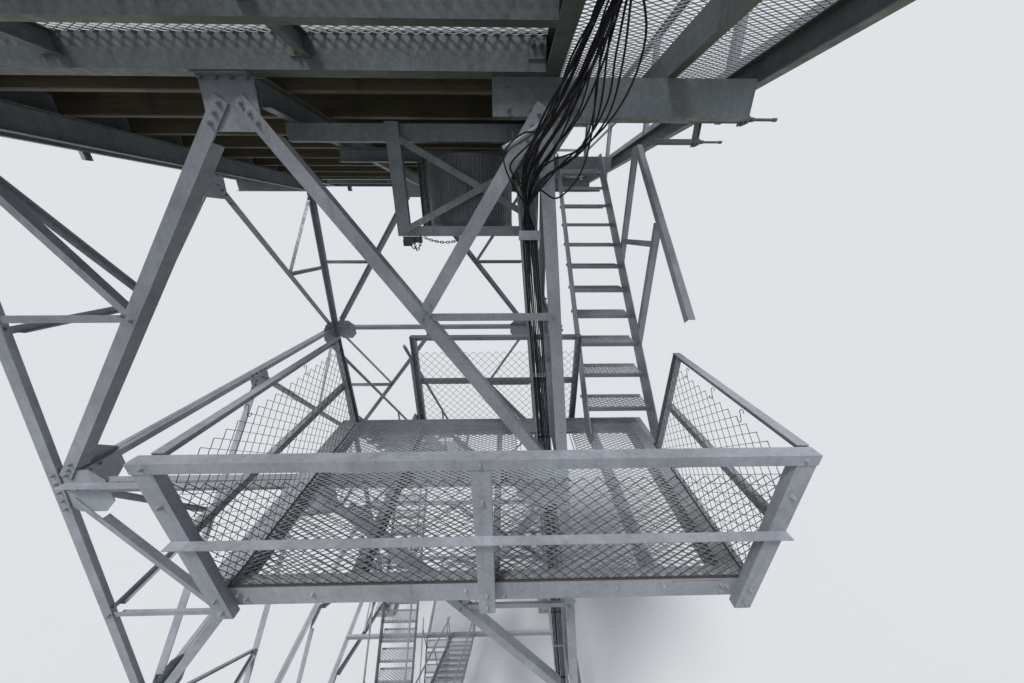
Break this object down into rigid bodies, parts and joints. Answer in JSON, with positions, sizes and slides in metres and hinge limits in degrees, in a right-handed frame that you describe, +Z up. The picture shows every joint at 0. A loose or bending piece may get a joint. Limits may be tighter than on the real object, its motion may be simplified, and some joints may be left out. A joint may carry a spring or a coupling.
{
  "type": "fire lookout tower",
  "caption": "Square lattice tower of galvanised steel angles with switchback stairs, a fenced side balcony, and a glazed cab on a grated walkway.",
  "frame": {"origin": "middle of the tower at ground level", "axes": "+Z up, the front face with the balcony towards -Y, +X to the right seen from the front"},
  "size_m": [7.8576, 7.8576, 19.8906],
  "materials": {
    "galvanised_steel": "hot-dip galvanised, weathered to a streaked blue-grey",
    "weathered_steel": "galvanised, darker and stained by moss and rust on the underside",
    "concrete": "rough cast concrete",
    "planks": "damp, dark softwood boards with green growth",
    "joist_timber": "weathered sawn timber, green and brown with damp",
    "grating": "galvanised expanded metal",
    "fence_wire": "dark, rusty woven wire",
    "cab_paint": "chalky light paint on panels",
    "door_paint": "satin paint",
    "roof_sheet": "standing-seam sheet, dull",
    "window_glass": "clear window glass",
    "drum_metal": "dull ribbed sheet metal",
    "cable_rubber": "black sheathed cables"
  },
  "bodies": {
    "root": {"footings": "concrete", "leg_front_left": "galvanised_steel", "leg_front_right": "galvanised_steel", "leg_back_right": "galvanised_steel", "leg_back_left": "galvanised_steel", "front_bracing": "galvanised_steel", "right_bracing": "galvanised_steel", "back_bracing": "galvanised_steel", "left_bracing": "galvanised_steel", "gusset_plates": "galvanised_steel", "level_1_beams": "galvanised_steel", "level_2_beams": "galvanised_steel", "level_3_beams": "galvanised_steel", "level_4_beams": "galvanised_steel", "deck_arms": "weathered_steel", "deck_outriggers": "weathered_steel", "deck_edge_beams": "weathered_steel", "deck_stringers": "weathered_steel", "cab_joists": "joist_timber", "cab_floor": "planks", "walkway_grating": "grating", "walkway_railing": "galvanised_steel", "cab_front_wall": "cab_paint", "cab_right_wall": "cab_paint", "cab_back_wall": "cab_paint", "cab_left_wall": "cab_paint", "cab_glass": "window_glass", "cab_door": "door_paint", "cab_roof": "roof_sheet", "balcony_frame": "galvanised_steel", "balcony_floor": "grating", "balcony_railing": "galvanised_steel", "balcony_fence": "fence_wire", "stair_flight_1": "galvanised_steel", "stair_flight_2": "galvanised_steel", "stair_flight_3": "galvanised_steel", "stair_flight_4": "galvanised_steel", "stair_landings": "galvanised_steel", "stair_handrails": "galvanised_steel", "upper_stair": "galvanised_steel", "upper_stair_rail": "galvanised_steel", "drum_cradle": "weathered_steel", "ribbed_drum": "drum_metal", "cable_ladder": "galvanised_steel", "cable_bundle": "cable_rubber", "instrument_arms": "weathered_steel"}
  },
  "joints": []
}
